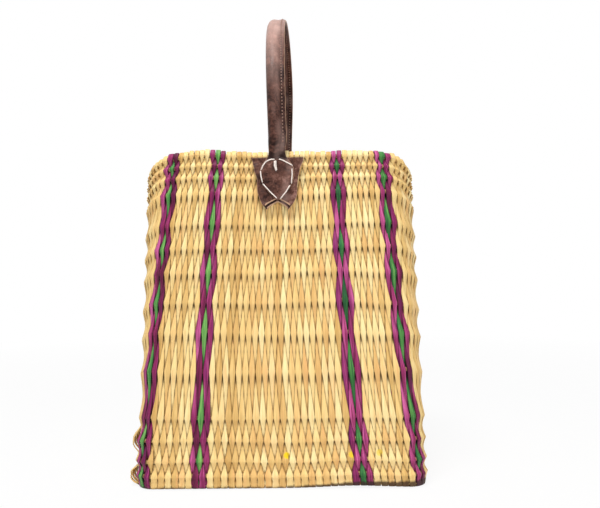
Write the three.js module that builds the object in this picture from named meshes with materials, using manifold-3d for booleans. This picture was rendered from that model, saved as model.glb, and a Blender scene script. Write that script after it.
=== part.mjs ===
// A woven reed market basket with one leather handle, in millimetres, +Z up.
// The front faces -Y, +X is to the right, and the origin is under the middle of the base.
// Flat reeds run up the wall and pass over and under stacked cane hoops. Eight stripes of
// dyed reed split the natural reed into fields. The handle is leather sewn round a core,
// and its flattened ends are laced to the wall over a leather patch.
import * as THREE from "three";
import { mergeVertices } from "three/addons/utils/BufferGeometryUtils.js";
import Module from "manifold-3d";

const wasm = await Module();
wasm.setup();

// Plan of the wall, measured across the middle of its thickness.
const baseWidth = 296;
const baseDepth = 200;
const baseCorner = 18;
const rimWidth = 284;
const rimDepth = 200;
const rimCorner = 58;
const rimDip = 20; // how much lower the rim is at the sides than at the handle
const leastStraight = 1; // half the straight that a corner leaves in a side, at the least

// Height of each hoop above the one below, from the floor up, at the front.
const hoopGaps = [14, 15, 21, 23, 47, 38, 31, 32, 25, 25, 31, 15, 11, 10];
const hoopHalf = 2.1; // half the thickness of a hoop cane
const reedThickness = 1.2;
const clearance = 0.3;

// Stripes of dyed reed, by the place of their middle line.
const innerStripeAtBase = 84;
const innerStripeAtRim = 60;
const cornerStripeAtRim = 22; // degrees round the rim corner, from the front
const stripeWidthAtBase = 17;
const stripeWidthAtRim = 14;

// Base mat and the canes woven into it.
const baseCaneCount = 5;
const baseCaneSpacing = 36;
const baseCaneInset = 6; // from the wall to the end of a base cane

// Handle: a leather sheet rolled round a core, with its two edges sewn into a flange.
const handleRise = 167; // from the rim to the top of the arch
const handleWidth = 19.5;
const handleRoll = 14.5; // outside diameter of the rolled part
const handleLeather = 1.9;
const flangeThickness = 3.2;

// Leather ends, laced to the wall.
const patchThickness = 2.4;
const patchTopWidth = 54;
const patchWaistWidth = 42;
const patchTipSpread = 22;
const patchBelowRim = 5;
const patchHeight = 53.5;
const patchWaistDrop = 28; // from the top edge to the waist
const patchNotch = 8.5;
const tongueThickness = 2.6;
const tongueNeckWidth = 16;
const tongueWidth = 34;
const tongueShoulderDrop = 16; // from the rim to the widest line
const tongueCheekWidth = 32;
const tongueCheekDrop = 29;
const tongueLength = 48.5;
const laceDiameter = 1.8;
const laceInset = 2.4;

const { lerp } = THREE.MathUtils;

// Sizes that follow from those above.
const reedOffset = hoopHalf + clearance + reedThickness / 2;
const crest = hoopHalf + clearance + reedThickness;
const hoopHeights = hoopGaps.map((gap, i) => hoopGaps.slice(0, i + 1).reduce((sum, g) => sum + g, 0));
const rimHeight = hoopHeights.at(-1) + crest;
const patchFoot = rimHeight - patchBelowRim - patchHeight;
const wallAtPatch = Math.max(planAt(1).halfDepth, planAt(patchFoot / rimHeight).halfDepth);
const patchBack = wallAtPatch + crest + clearance;
const tongueBack = patchBack + patchThickness + clearance;
const laceBack = tongueBack + tongueThickness + clearance;
const armEnd = handleWidth / 2;
const tongueTop = clearance;
const pivotHeight = rimHeight + tongueTop + clearance + armEnd;
const archRadius = tongueBack + tongueThickness / 2;
const archHeight = rimHeight + handleRise - handleRoll / 2 - archRadius;

const colours = {
  reed: { color: 0xe6c27e, roughness: 0.6 },
  purple: { color: 0x7c2463, roughness: 0.55 },
  green: { color: 0x4d8c50, roughness: 0.55 },
  cane: { color: 0x9a7a4c, roughness: 0.75 },
  leather: { color: 0x4a322c, roughness: 0.5 },
  lace: { color: 0xe9dccd, roughness: 0.7 },
  core: { color: 0xb59a6a, roughness: 0.85 },
};

const basket = new THREE.Group();

function addPart(parent, name, geometry, finish) {
  const material = new THREE.MeshStandardMaterial({ ...colours[finish], metalness: 0 });
  const mesh = new THREE.Mesh(geometry, material);
  mesh.name = name;
  parent.add(mesh);
  return mesh;
}

// Points and triangles as one body whose faces point out.
function closedBody(points, triangles) {
  let volume = 0;
  const edge = new THREE.Vector3();
  for (const [a, b, c] of triangles) {
    volume += edge.crossVectors(points[a], points[b]).dot(points[c]);
  }
  const faces = volume < 0 ? triangles.map(([a, b, c]) => [a, c, b]) : triangles;
  const geometry = new THREE.BufferGeometry().setFromPoints(points);
  geometry.setIndex(faces.flat());
  geometry.computeVertexNormals();
  return geometry;
}

function turned(loop, clockwise) {
  return THREE.ShapeUtils.isClockWise(loop) === clockwise ? loop : [...loop].reverse();
}

// Carries a flat profile (an outer loop and its holes) from station to station. place(i, p)
// gives the point in space of the profile point p at station i. The ends are capped, unless
// the last station joins the first.
function loft(outer, holes, stationCount, place, joined = false) {
  const loops = [turned(outer, false), ...holes.map((hole) => turned(hole, true))];
  const profile = loops.flat();
  const points = [];
  for (let i = 0; i < stationCount; i++) {
    points.push(...profile.map((p) => place(i, p)));
  }
  const triangles = [];
  const stepCount = joined ? stationCount : stationCount - 1;
  let first = 0;
  for (const loop of loops) {
    for (let i = 0; i < stepCount; i++) {
      const here = i * profile.length + first;
      const next = ((i + 1) % stationCount) * profile.length + first;
      for (let j = 0; j < loop.length; j++) {
        const k = (j + 1) % loop.length;
        triangles.push([here + j, here + k, next + k], [here + j, next + k, next + j]);
      }
    }
    first += loop.length;
  }
  if (!joined) {
    const last = (stationCount - 1) * profile.length;
    for (const corners of THREE.ShapeUtils.triangulateShape(loops[0], loops.slice(1))) {
      const facing = THREE.ShapeUtils.area(corners.map((i) => profile[i])) > 0;
      const [a, b, c] = facing ? corners : [...corners].reverse();
      triangles.push([a, c, b], [last + a, last + b, last + c]);
    }
  }
  return closedBody(points, triangles);
}

function solidOf(geometry) {
  const bare = geometry.clone();
  bare.deleteAttribute("normal");
  bare.deleteAttribute("uv");
  const merged = mergeVertices(bare, 1e-4);
  const mesh = { numProp: 3, vertProperties: merged.attributes.position.array };
  mesh.triVerts = new Uint32Array(merged.index.array);
  return new wasm.Manifold(new wasm.Mesh(mesh));
}

function geometryOf(solid) {
  const { vertProperties, triVerts } = solid.getMesh();
  const geometry = new THREE.BufferGeometry();
  geometry.setAttribute("position", new THREE.BufferAttribute(vertProperties, 3));
  geometry.setIndex(new THREE.BufferAttribute(triVerts, 1));
  geometry.computeVertexNormals();
  return geometry;
}

function point(across, up) {
  return new THREE.Vector2(across, up);
}

function diamond(across, up, half) {
  const sides = [[half, 0], [0, half], [-half, 0], [0, -half]];
  return sides.map(([x, y]) => point(across + x, up + y));
}

// Plan of the wall at a share of its height: half width, half depth and corner radius.
function planAt(share) {
  const halfWidth = lerp(baseWidth, rimWidth, share) / 2;
  const halfDepth = lerp(baseDepth, rimDepth, share) / 2;
  const widest = Math.min(halfWidth, halfDepth) - leastStraight;
  const corner = Math.min(lerp(baseCorner, rimCorner, share), widest);
  const front = 2 * (halfWidth - corner);
  const side = 2 * (halfDepth - corner);
  const bend = (Math.PI / 2) * corner;
  return { halfWidth, halfDepth, corner, front, side, bend, round: 2 * (front + side) + 4 * bend };
}

// A point of the wall, along the wall from the front middle towards +X and round, at a share
// of the height and at a distance out from the middle of its thickness.
function wallPoint(along, share, out) {
  const plan = planAt(share);
  const { halfWidth, halfDepth, corner, front, side, bend, round } = plan;
  const half = round / 2;
  const whole = ((along % round) + round) % round;
  const behind = whole > half;
  let left = behind ? whole - half : whole;
  let x = 0;
  let y = 0;
  let angle = 0;
  if (left < front / 2) {
    [x, y, angle] = [left, -halfDepth, -Math.PI / 2];
  } else if ((left -= front / 2) < bend) {
    angle = left / corner - Math.PI / 2;
    x = front / 2 + corner * Math.cos(angle);
    y = -side / 2 + corner * Math.sin(angle);
  } else if ((left -= bend) < side) {
    [x, y, angle] = [halfWidth, left - side / 2, 0];
  } else if ((left -= side) < bend) {
    angle = left / corner;
    x = front / 2 + corner * Math.cos(angle);
    y = side / 2 + corner * Math.sin(angle);
  } else {
    left -= bend;
    [x, y, angle] = [front / 2 - left, halfDepth, Math.PI / 2];
  }
  const turn = behind ? -1 : 1;
  const outX = Math.cos(angle);
  const height = share * (rimHeight - rimDip * outX ** 4);
  return new THREE.Vector3(turn * (x + out * outX), turn * (y + out * Math.sin(angle)), height);
}

// Middle lines of the stripes, in order along the wall from the front middle.
const innerStripe = (share) => lerp(innerStripeAtBase, innerStripeAtRim, share);
const baseCornerMiddle = planAt(0).front / 2 + planAt(0).bend / 2;
const rimCornerPlace = planAt(1).front / 2 + THREE.MathUtils.degToRad(cornerStripeAtRim) * planAt(1).corner;
const cornerStripe = (share) => lerp(baseCornerMiddle, rimCornerPlace, share);
const halfStripe = (share) => lerp(stripeWidthAtBase, stripeWidthAtRim, share) / 2;
const stripes = [
  { name: "front_right_stripe", middle: innerStripe, steps: 1 },
  { name: "front_right_corner", middle: cornerStripe, steps: 3 },
  { name: "back_right_corner", middle: (t) => planAt(t).round / 2 - cornerStripe(t), steps: 3 },
  { name: "back_right_stripe", middle: (t) => planAt(t).round / 2 - innerStripe(t), steps: 1 },
  { name: "back_left_stripe", middle: (t) => planAt(t).round / 2 + innerStripe(t), steps: 1 },
  { name: "back_left_corner", middle: (t) => planAt(t).round / 2 + cornerStripe(t), steps: 3 },
  { name: "front_left_corner", middle: (t) => planAt(t).round - cornerStripe(t), steps: 3 },
  { name: "front_left_stripe", middle: (t) => planAt(t).round - innerStripe(t), steps: 1 },
];

// Fields of natural reed between the stripes. A side field goes round two corners, and bends at
// these shares of its width.
const sideBends = [0.15, 0.3, 0.7, 0.85];
const fields = [
  { name: "front_reeds", bends: [] },
  { name: "front_right_reeds", bends: [] },
  { name: "right_side_reeds", bends: sideBends },
  { name: "back_right_reeds", bends: [] },
  { name: "back_reeds", bends: [] },
  { name: "back_left_reeds", bends: [] },
  { name: "left_side_reeds", bends: sideBends },
  { name: "front_left_reeds", bends: [] },
];

// Stations round the wall. Every reed and hoop bends only at these, so gaps stay even.
const stations = [];
fields.forEach((field, i) => {
  const before = stripes.at(i - 1);
  const after = stripes[i];
  const lap = (share) => (i === 0 ? planAt(share).round : 0);
  const fieldStart = (t) => before.middle(t) - lap(t) + halfStripe(t);
  const fieldEnd = (t) => after.middle(t) - halfStripe(t);
  const stripeEnd = (t) => after.middle(t) + halfStripe(t);
  field.first = stations.length;
  for (const bend of [0, ...field.bends]) {
    stations.push((t) => lerp(fieldStart(t), fieldEnd(t), bend));
  }
  field.steps = field.bends.length + 1;
  after.first = stations.length;
  for (let k = 0; k < after.steps; k++) {
    stations.push((t) => lerp(fieldEnd(t), stripeEnd(t), k / after.steps));
  }
});

// A point between two stations, a share of the step from the first, and moved along the step.
function stationPoint(index, part, shift, height, out) {
  const share = height / rimHeight;
  const from = wallPoint(stations[index % stations.length](share), share, out);
  const to = wallPoint(stations[(index + 1) % stations.length](share), share, out);
  const step = to.sub(from);
  return from.addScaledVector(step, part + shift / step.length());
}

// Cane hoops, stacked from the floor to the rim.
hoopHeights.forEach((height, i) => {
  const section = diamond(0, height, hoopHalf);
  const place = (station, p) => stationPoint(station, 0, 0, p.y, p.x);
  const name = `hoop_${String(i + 1).padStart(2, "0")}`;
  addPart(basket, name, loft(section, [], stations.length, place, true), "cane");
});

// Fields of natural reed: thick where the reeds pass round a hoop, thin where they cross.
const ridge = [point(reedThickness, 0)];
hoopHeights.forEach((height, i) => {
  const next = hoopHeights[i + 1] ?? 0;
  ridge.push(point(crest, height));
  if (next - height > 4 * crest) {
    ridge.push(point(reedThickness, (height + next) / 2));
  }
});
ridge.push(point(reedThickness, rimHeight));
const fieldProfile = [...ridge, ...ridge.map((p) => point(-p.x, p.y)).reverse()];
const hoopHoles = hoopHeights.map((height) => diamond(0, height, hoopHalf + clearance));
for (const field of fields) {
  const place = (i, p) => {
    if (i === 0) {
      return stationPoint(field.first, 0, clearance, p.y, p.x);
    }
    if (i === field.steps) {
      return stationPoint(field.first + i - 1, 1, -clearance, p.y, p.x);
    }
    return stationPoint(field.first + i, 0, 0, p.y, p.x);
  };
  addPart(basket, field.name, loft(fieldProfile, hoopHoles, field.steps + 1, place), "reed");
}

// Dyed reeds, three to a stripe, each woven in front of one hoop and behind the next.
const reedsInStripe = ["purple_reed_1", "green_reed", "purple_reed_2"];
const weaveHeights = [0, ...hoopHeights, rimHeight];
const halfThickness = reedThickness / 2;
const reedCorners = [[0, -halfThickness], [1, -halfThickness], [1, halfThickness], [0, halfThickness]];
const reedSection = reedCorners.map(([across, out]) => point(across, out));
stripes.forEach((stripe, stripeIndex) => {
  reedsInStripe.forEach((reed, column) => {
    const place = (i, p) => {
      const woven = i > 0 && i < weaveHeights.length - 1;
      const outside = (i + column + stripeIndex) % 2 === 0 ? 1 : -1;
      const out = p.y + (woven ? outside * reedOffset : 0);
      const shift = p.x === 0 ? clearance / 2 : -clearance / 2;
      const across = ((column + p.x) * stripe.steps) / reedsInStripe.length;
      const step = Math.min(Math.floor(column * stripe.steps / reedsInStripe.length), stripe.steps - 1);
      return stationPoint(stripe.first + step, across - step, shift, weaveHeights[i], out);
    };
    const finish = reed.startsWith("green") ? "green" : "purple";
    addPart(basket, `${stripe.name}_${reed}`, loft(reedSection, [], weaveHeights.length, place), finish);
  });
});

// Base mat: reeds woven round canes that lie across it, cut to the inside of the wall.
const baseCaneHeight = reedThickness + hoopHalf + clearance;
const middleCane = (baseCaneCount - 1) / 2;
const baseCanes = Array.from({ length: baseCaneCount }, (_, i) => (i - middleCane) * baseCaneSpacing);
const matTop = [];
baseCanes.forEach((y, i) => {
  matTop.push(point(y, baseCaneHeight + crest));
  if (i < baseCaneCount - 1) {
    matTop.push(point(y + baseCaneSpacing / 2, 2 * reedThickness));
  }
});
const matReach = baseDepth / 2 + crest;
const matProfile = [point(matReach, 0), point(-matReach, 0), point(-matReach, 2 * reedThickness), ...matTop];
matProfile.push(point(matReach, 2 * reedThickness));
const caneHoles = baseCanes.map((y) => diamond(y, baseCaneHeight, hoopHalf + clearance));
const matLength = baseWidth + 2 * crest;
const acrossBase = (length) => (i, p) => new THREE.Vector3((i - 0.5) * length, p.x, p.y);
const matBlank = loft(matProfile, caneHoles, 2, acrossBase(matLength));
const wallLean = (crest - reedThickness) / hoopHeights[0];
const matHeight = baseCaneHeight + crest + clearance;
const insideWall = (height) => -(reedThickness + wallLean * height + 2 * clearance);
const matEdge = stations.map((_, i) => stationPoint(i, 0, 0, 0, 0));
const matCutter = loft(
  matEdge.map((p) => point(p.x, p.y)),
  [],
  2,
  (i, p) => {
    const nearest = matEdge.findIndex((q) => q.x === p.x && q.y === p.y);
    const height = i * matHeight;
    const edge = stationPoint(nearest, 0, 0, 0, insideWall(height));
    return edge.setZ(height);
  },
);
addPart(basket, "base_mat", geometryOf(solidOf(matBlank).intersect(solidOf(matCutter))), "reed");
const caneLength = baseWidth - 2 * (crest + baseCaneInset);
baseCanes.forEach((y, i) => {
  const section = diamond(y, baseCaneHeight, hoopHalf);
  addPart(basket, `base_cane_${i + 1}`, loft(section, [], 2, acrossBase(caneLength)), "cane");
});

// Leather ends at the front, and the same turned round at the back. Heights are from the rim.
// A leaf has two like sides. Each step of its right side, from the top to the foot, is a point,
// or a bend with its control point first.
function leaf(top, steps) {
  const shape = new THREE.Shape();
  shape.moveTo(-top[0], top[1]);
  shape.lineTo(...top);
  const draw = (step, x, z, side) => {
    if (step.length === 2) {
      shape.lineTo(side * x, z);
    } else {
      shape.quadraticCurveTo(side * step[0], step[1], side * x, z);
    }
  };
  steps.forEach((step) => draw(step, ...step.slice(-2), 1));
  const starts = [top, ...steps.slice(0, -1).map((step) => step.slice(-2))];
  steps.map((step, i) => [step, starts[i]]).reverse().forEach(([step, start]) => draw(step, ...start, -1));
  return shape;
}

const patchTop = -patchBelowRim;
const patchTip = patchTop - patchHeight;
const patchWaist = patchTop - patchWaistDrop;
const patchShape = leaf(
  [patchTopWidth / 2, patchTop],
  [
    [patchWaistWidth / 2, (patchTop + patchWaist) / 2, patchWaistWidth / 2, patchWaist],
    [(patchWaistWidth + patchTipSpread) / 3.6, (patchWaist + 2 * patchTip) / 3, patchTipSpread / 2, patchTip],
    [0, patchTip + patchNotch],
  ],
);

const shoulder = -tongueShoulderDrop;
const cheek = -tongueCheekDrop;
const tongueShape = leaf(
  [tongueNeckWidth / 2, tongueTop],
  [
    [tongueNeckWidth / 2, shoulder / 2, tongueWidth / 2, shoulder],
    [tongueWidth / 2, (shoulder + cheek) / 2, tongueCheekWidth / 2, cheek],
    [tongueCheekWidth / 3, (cheek - tongueLength) / 2, 0, -tongueLength],
  ],
);

// The lace follows the edge of the tongue, with its two ends side by side at the top.
const laceSide = [
  [laceInset, shoulder / 2],
  [tongueWidth / 2 - laceInset, shoulder],
  [tongueCheekWidth / 2 - laceInset, cheek],
];
const laceFoot = [0, -tongueLength + 1.5 * laceInset];
const lacePoints = [...laceSide.map(([x, z]) => [-x, z]), laceFoot, ...laceSide.reverse()];
const lacePlace = ([x, z]) => new THREE.Vector3(x, z, laceDiameter / 2);
const lacePath = new THREE.CatmullRomCurve3(lacePoints.map(lacePlace));
const laceSection = new THREE.Shape().absarc(0, 0, laceDiameter / 2, 0, 2 * Math.PI);

for (const [end, turn] of [["front", 0], ["back", Math.PI]]) {
  const leatherEnd = new THREE.Group();
  leatherEnd.rotation.z = turn;
  leatherEnd.position.z = rimHeight;
  basket.add(leatherEnd);
  const sheet = { bevelEnabled: false, curveSegments: 4 };
  const patch = new THREE.ExtrudeGeometry(patchShape, { ...sheet, depth: patchThickness });
  const tongue = new THREE.ExtrudeGeometry(tongueShape, { ...sheet, depth: tongueThickness });
  const lace = new THREE.ExtrudeGeometry(laceSection, { steps: 18, curveSegments: 3, extrudePath: lacePath });
  const layers = [["patch", patch, patchBack, "leather"], ["tongue", tongue, tongueBack, "leather"]];
  layers.push(["lacing", lace, laceBack, "lace"]);
  for (const [piece, geometry, out, finish] of layers) {
    geometry.rotateX(Math.PI / 2);
    addPart(leatherEnd, `${end}_${piece}`, geometry, finish).position.y = -out;
  }
}

// The handle's path: two straight arms and a half circle over the mouth, from front to back.
const archSteps = 12;
function handlePlace(armFoot) {
  return (i, p) => {
    const angle = THREE.MathUtils.clamp((i - 1) / archSteps, 0, 1) * Math.PI;
    const reach = archRadius + p.y;
    const height = i === 0 || i === archSteps + 2 ? armFoot : archHeight + reach * Math.sin(angle);
    return new THREE.Vector3(p.x, -reach * Math.cos(angle), height);
  };
}

// Leather cover: a rolled sheet whose edges meet in the flange, open along the seam.
const rollSides = 10;
const rollRadius = handleRoll / 2;
const rollMiddle = rollRadius - handleWidth / 2;
const boreRadius = rollRadius - handleLeather;
function arc(radius, opening, sides) {
  const start = Math.asin(opening / radius);
  return Array.from({ length: sides + 1 }, (_, i) => {
    const angle = start + (i / sides) * 2 * (Math.PI - start);
    return point(rollMiddle + radius * Math.cos(angle), radius * Math.sin(angle));
  });
}
const seamGap = clearance / 2;
const flangeHalf = flangeThickness / 2;
const coverProfile = [point(handleWidth / 2, flangeHalf), ...arc(rollRadius, flangeHalf, rollSides)];
coverProfile.push(point(handleWidth / 2, -flangeHalf), point(handleWidth / 2, -seamGap));
coverProfile.push(...arc(boreRadius, seamGap, rollSides).reverse(), point(handleWidth / 2, seamGap));
const armFoot = pivotHeight - armEnd;
const coverBlank = loft(coverProfile, [], archSteps + 3, handlePlace(armFoot));

// The arms end round, so that they swing on the leather without lifting off it.
const endCut = new THREE.BoxGeometry(2 * handleWidth, 4 * archRadius, handleWidth);
endCut.translate(0, 0, pivotHeight - handleWidth / 2);
const endRound = new THREE.CylinderGeometry(armEnd, armEnd, 5 * archRadius, 24);
endRound.translate(0, 0, pivotHeight);
const coverSolid = solidOf(coverBlank).subtract(solidOf(endCut).subtract(solidOf(endRound)));
addPart(basket, "handle_cover", geometryOf(coverSolid), "leather");

const coreRadius = boreRadius * Math.cos(Math.PI / rollSides) - clearance;
const coreSides = 8;
const coreSection = Array.from({ length: coreSides }, (_, i) => {
  const angle = (i / coreSides) * 2 * Math.PI;
  return point(rollMiddle + coreRadius * Math.cos(angle), coreRadius * Math.sin(angle));
});
addPart(basket, "handle_core", loft(coreSection, [], archSteps + 3, handlePlace(pivotHeight)), "core");

export default basket;
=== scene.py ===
import math
import random

import bmesh
import bpy
import numpy as np
from mathutils import Matrix, Vector, noise


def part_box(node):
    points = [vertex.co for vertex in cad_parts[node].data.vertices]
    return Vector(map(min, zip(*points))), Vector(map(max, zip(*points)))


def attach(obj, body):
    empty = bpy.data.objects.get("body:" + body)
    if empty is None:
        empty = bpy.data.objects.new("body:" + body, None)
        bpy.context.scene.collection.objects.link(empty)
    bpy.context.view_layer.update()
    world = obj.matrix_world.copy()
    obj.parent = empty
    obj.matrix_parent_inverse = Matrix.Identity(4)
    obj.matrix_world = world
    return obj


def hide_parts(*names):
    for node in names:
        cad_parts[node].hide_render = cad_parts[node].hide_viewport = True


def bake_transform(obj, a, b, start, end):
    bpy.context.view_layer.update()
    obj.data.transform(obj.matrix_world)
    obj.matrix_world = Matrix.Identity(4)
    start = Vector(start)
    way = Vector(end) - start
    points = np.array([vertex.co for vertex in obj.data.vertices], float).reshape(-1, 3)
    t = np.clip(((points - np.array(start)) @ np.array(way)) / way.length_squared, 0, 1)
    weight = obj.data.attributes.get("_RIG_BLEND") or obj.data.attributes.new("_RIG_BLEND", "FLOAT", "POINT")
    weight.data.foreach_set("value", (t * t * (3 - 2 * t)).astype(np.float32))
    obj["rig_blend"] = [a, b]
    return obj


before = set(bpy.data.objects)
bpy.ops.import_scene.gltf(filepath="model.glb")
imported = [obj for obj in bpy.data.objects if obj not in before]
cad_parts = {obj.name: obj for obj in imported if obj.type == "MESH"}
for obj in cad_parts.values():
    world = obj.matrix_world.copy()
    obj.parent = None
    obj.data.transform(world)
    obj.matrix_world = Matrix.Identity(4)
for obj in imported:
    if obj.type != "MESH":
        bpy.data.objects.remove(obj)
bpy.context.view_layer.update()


# Base canes
# Five straight lengths of peeled cane, 4.2 mm thick, laid from end to end of the basket's base.
# The base reeds are woven round them, which holds them in place without any tie.
class Wire:
    """One socket of a node tree, so that sums on it read as plain expressions."""

    def __init__(self, tree, socket=None):
        self.tree = tree
        self.socket = socket

    def node(self, kind, settings=None, sockets=None, output=0):
        made = self.tree.nodes.new(kind)
        for name, value in (settings or {}).items():
            if name == "stops":
                elements = made.color_ramp.elements
                for element, (place, tone) in zip((elements[0], elements[1]), (value[0], value[-1])):
                    element.position = place
                    element.color = tone
                for place, tone in value[1:-1]:
                    elements.new(place).color = tone
            else:
                setattr(made, name, value)
        for key, value in (sockets or {}).items():
            if isinstance(value, Wire):
                self.tree.links.new(value.socket, made.inputs[key])
            else:
                made.inputs[key].default_value = value
        return Wire(self.tree, made.outputs[output] if made.outputs else None)

    def maths(self, operation, *terms):
        return self.node("ShaderNodeMath", {"operation": operation}, dict(enumerate(terms)))

    def __add__(self, other):
        return self.maths("ADD", self, other)

    def __sub__(self, other):
        return self.maths("SUBTRACT", self, other)

    def __rsub__(self, other):
        return self.maths("SUBTRACT", other, self)

    def __mul__(self, other):
        return self.maths("MULTIPLY", self, other)

    def __truediv__(self, other):
        return self.maths("DIVIDE", self, other)

    def __rtruediv__(self, other):
        return self.maths("DIVIDE", other, self)

    def __pow__(self, other):
        return self.maths("POWER", self, other)

    def __abs__(self):
        return self.maths("ABSOLUTE", self)

    __radd__ = __add__
    __rmul__ = __mul__


def colour(red, green, blue):
    """A colour as a paint chart gives it, 0 to 255, in the linear form that shaders take."""
    steps = [c / 255 for c in (red, green, blue)]
    return tuple(c / 12.92 if c <= 0.04045 else ((c + 0.055) / 1.055) ** 2.4 for c in steps) + (1.0,)


def new_finish(name):
    finish = bpy.data.materials.new(name)
    finish.use_nodes = True
    tree = finish.node_tree
    tree.nodes.clear()
    bench = Wire(tree)
    surface = bench.node("ShaderNodeBsdfPrincipled")
    bench.node("ShaderNodeOutputMaterial", sockets={"Surface": surface})
    return finish, bench, surface.socket.node


def feed(bench, shader, **sockets):
    for name, value in sockets.items():
        socket = shader.inputs[name.replace("_", " ")]
        if isinstance(value, Wire):
            bench.tree.links.new(value.socket, socket)
        else:
            socket.default_value = value


def mixed(share, tone_a, tone_b, way="MIX"):
    settings = {"data_type": "RGBA", "blend_type": way}
    return share.node("ShaderNodeMix", settings, {0: share, 6: tone_a, 7: tone_b}, output=2)


def object_place(bench):
    return bench.node("ShaderNodeTexCoord", output=3)


def place_noise(place, scale, detail, distortion=0.0):
    sockets = {"Vector": place, "Scale": scale, "Detail": detail, "Distortion": distortion}
    return place.node("ShaderNodeTexNoise", sockets=sockets)


def bumped(height, strength, depth):
    return height.node("ShaderNodeBump", sockets={"Strength": strength, "Distance": depth, "Height": height})


def new_tree(name, sizes):
    tree = bpy.data.node_groups.new(name, "GeometryNodeTree")
    tree.interface.new_socket("Guide", in_out="INPUT", socket_type="NodeSocketGeometry")
    for size in sizes:
        tree.interface.new_socket(size, in_out="INPUT", socket_type="NodeSocketFloat")
    tree.interface.new_socket("Finish", in_out="INPUT", socket_type="NodeSocketMaterial")
    tree.interface.new_socket("Piece", in_out="OUTPUT", socket_type="NodeSocketGeometry")
    given = tree.nodes.new("NodeGroupInput")
    inputs = {socket.name: Wire(tree, socket) for socket in given.outputs if socket.name}
    return tree, Wire(tree), inputs


def close_tree(bench, shape, finish):
    whole = bench.node("GeometryNodeRealizeInstances", sockets={"Geometry": shape})
    smooth = bench.node("GeometryNodeSetShadeSmooth", sockets={"Geometry": whole})
    painted = bench.node("GeometryNodeSetMaterial", sockets={"Geometry": smooth, "Material": finish})
    end = bench.tree.nodes.new("NodeGroupOutput")
    bench.tree.links.new(painted.socket, end.inputs["Piece"])


def guide_mesh(name, lines, ring=False):
    """Lines of points, each a dictionary with its place and its marks, as one mesh of edges."""
    points = [point for line in lines for point in line]
    edges = []
    first = 0
    for line in lines:
        edges += [(first + i, first + i + 1) for i in range(len(line) - 1)]
        if ring:
            edges.append((first + len(line) - 1, first))
        first += len(line)
    mesh = bpy.data.meshes.new(name)
    mesh.from_pydata([point["at"] for point in points], edges, [])
    for key, value in points[0].items():
        if key == "at":
            continue
        if isinstance(value, Vector):
            layer = mesh.attributes.new(key, "FLOAT_VECTOR", "POINT")
            layer.data.foreach_set("vector", np.array([p[key] for p in points], np.float32).ravel())
        else:
            layer = mesh.attributes.new(key, "FLOAT", "POINT")
            layer.data.foreach_set("value", np.array([p[key] for p in points], np.float32))
    return mesh


def face_out(mesh):
    work = bmesh.new()
    work.from_mesh(mesh)
    bmesh.ops.recalc_face_normals(work, faces=work.faces)
    work.to_mesh(mesh)
    work.free()


def place_piece(name, mesh):
    piece = bpy.data.objects.new(name, mesh)
    bpy.context.scene.collection.objects.link(piece)
    return piece


def grown(name, guide, tree, sizes, finish, keep=()):
    """Runs a tree on its guide and keeps what comes out as a plain mesh."""
    piece = place_piece(name, guide)
    modifier = piece.modifiers.new("make", "NODES")
    values = {**sizes, "Finish": finish}
    modifier.node_group = tree
    for item in tree.interface.items_tree:
        if item.in_out == "INPUT" and item.name in values:
            modifier[item.identifier] = values[item.name]
    depsgraph = bpy.context.evaluated_depsgraph_get()
    made = bpy.data.meshes.new_from_object(
        piece.evaluated_get(depsgraph), preserve_all_data_layers=True, depsgraph=depsgraph)
    piece.modifiers.clear()
    piece.data = made
    for layer in [a.name for a in made.attributes if a.domain == "POINT" and not a.is_required]:
        if layer not in keep:
            made.attributes.remove(made.attributes[layer])
    face_out(made)
    return piece


cane_half = 0.0021
rod_sides = 8
rod_tree, bench, given = new_tree("rod", ["Radius"])
path = bench.node("GeometryNodeMeshToCurve", sockets={"Mesh": given["Guide"]})
round_sockets = {"Resolution": rod_sides, "Radius": given["Radius"]}
round_section = bench.node("GeometryNodeCurvePrimitiveCircle", sockets=round_sockets)
swept_sockets = {"Curve": path, "Profile Curve": round_section, "Fill Caps": True}
close_tree(bench, bench.node("GeometryNodeCurveToMesh", sockets=swept_sockets), given["Finish"])

cane_finish, bench, shader = new_finish("peeled_cane")
cane_grain = place_noise(object_place(bench), scale=260.0, detail=4.0)
cane_tone = mixed(cane_grain, colour(150, 112, 64), colour(205, 168, 108))
cane_bump = bumped(cane_grain, strength=0.25, depth=0.0004)
feed(bench, shader, Base_Color=cane_tone, Roughness=0.62, Normal=cane_bump)

base_cane_names = [f"base_cane_{i}" for i in range(1, 6)]
cane_lines = []
for name in base_cane_names:
    low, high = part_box(name)
    middle = (low + high) / 2
    cane_lines.append([{"at": Vector((x, middle.y, middle.z))} for x in np.linspace(low.x, high.x, 12)])
cane_guide = guide_mesh("base_cane_paths", cane_lines)
base_canes = grown("base_canes", cane_guide, rod_tree, {"Radius": cane_half}, cane_finish)
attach(base_canes, "basket")
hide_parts(*base_cane_names)


# Base reeds
# Flat split reeds, 1.2 mm thick, laid across the basket over one base cane and under the next,
# each beside its neighbour, so that a reed goes over where the next goes under.
reed_thickness = 0.0012
reed_clearance = 0.0003
reed_swing = cane_half + reed_clearance + reed_thickness / 2
reed_sides = 12
edge_roundness = 0.3
face_roundness = 0.4
dive_steepness = 1.8
edge_thinning = 0.2
weave_sizes = {
    "Swing": reed_swing,
    "Thickness": reed_thickness,
    "Float Width": 1.0,
    "Crossing Width": 0.52,
    "Sharpness": 0.992,
}


def line_mark(bench, name, kind="FLOAT"):
    return bench.node("GeometryNodeInputNamedAttribute", {"data_type": kind}, {"Name": name})


def kept_mark(shape, name, value, kind="FLOAT"):
    settings = {"data_type": kind, "domain": "POINT"}
    sockets = {"Geometry": shape, "Name": name, "Value": value}
    return shape.node("GeometryNodeStoreNamedAttribute", settings, sockets)


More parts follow.
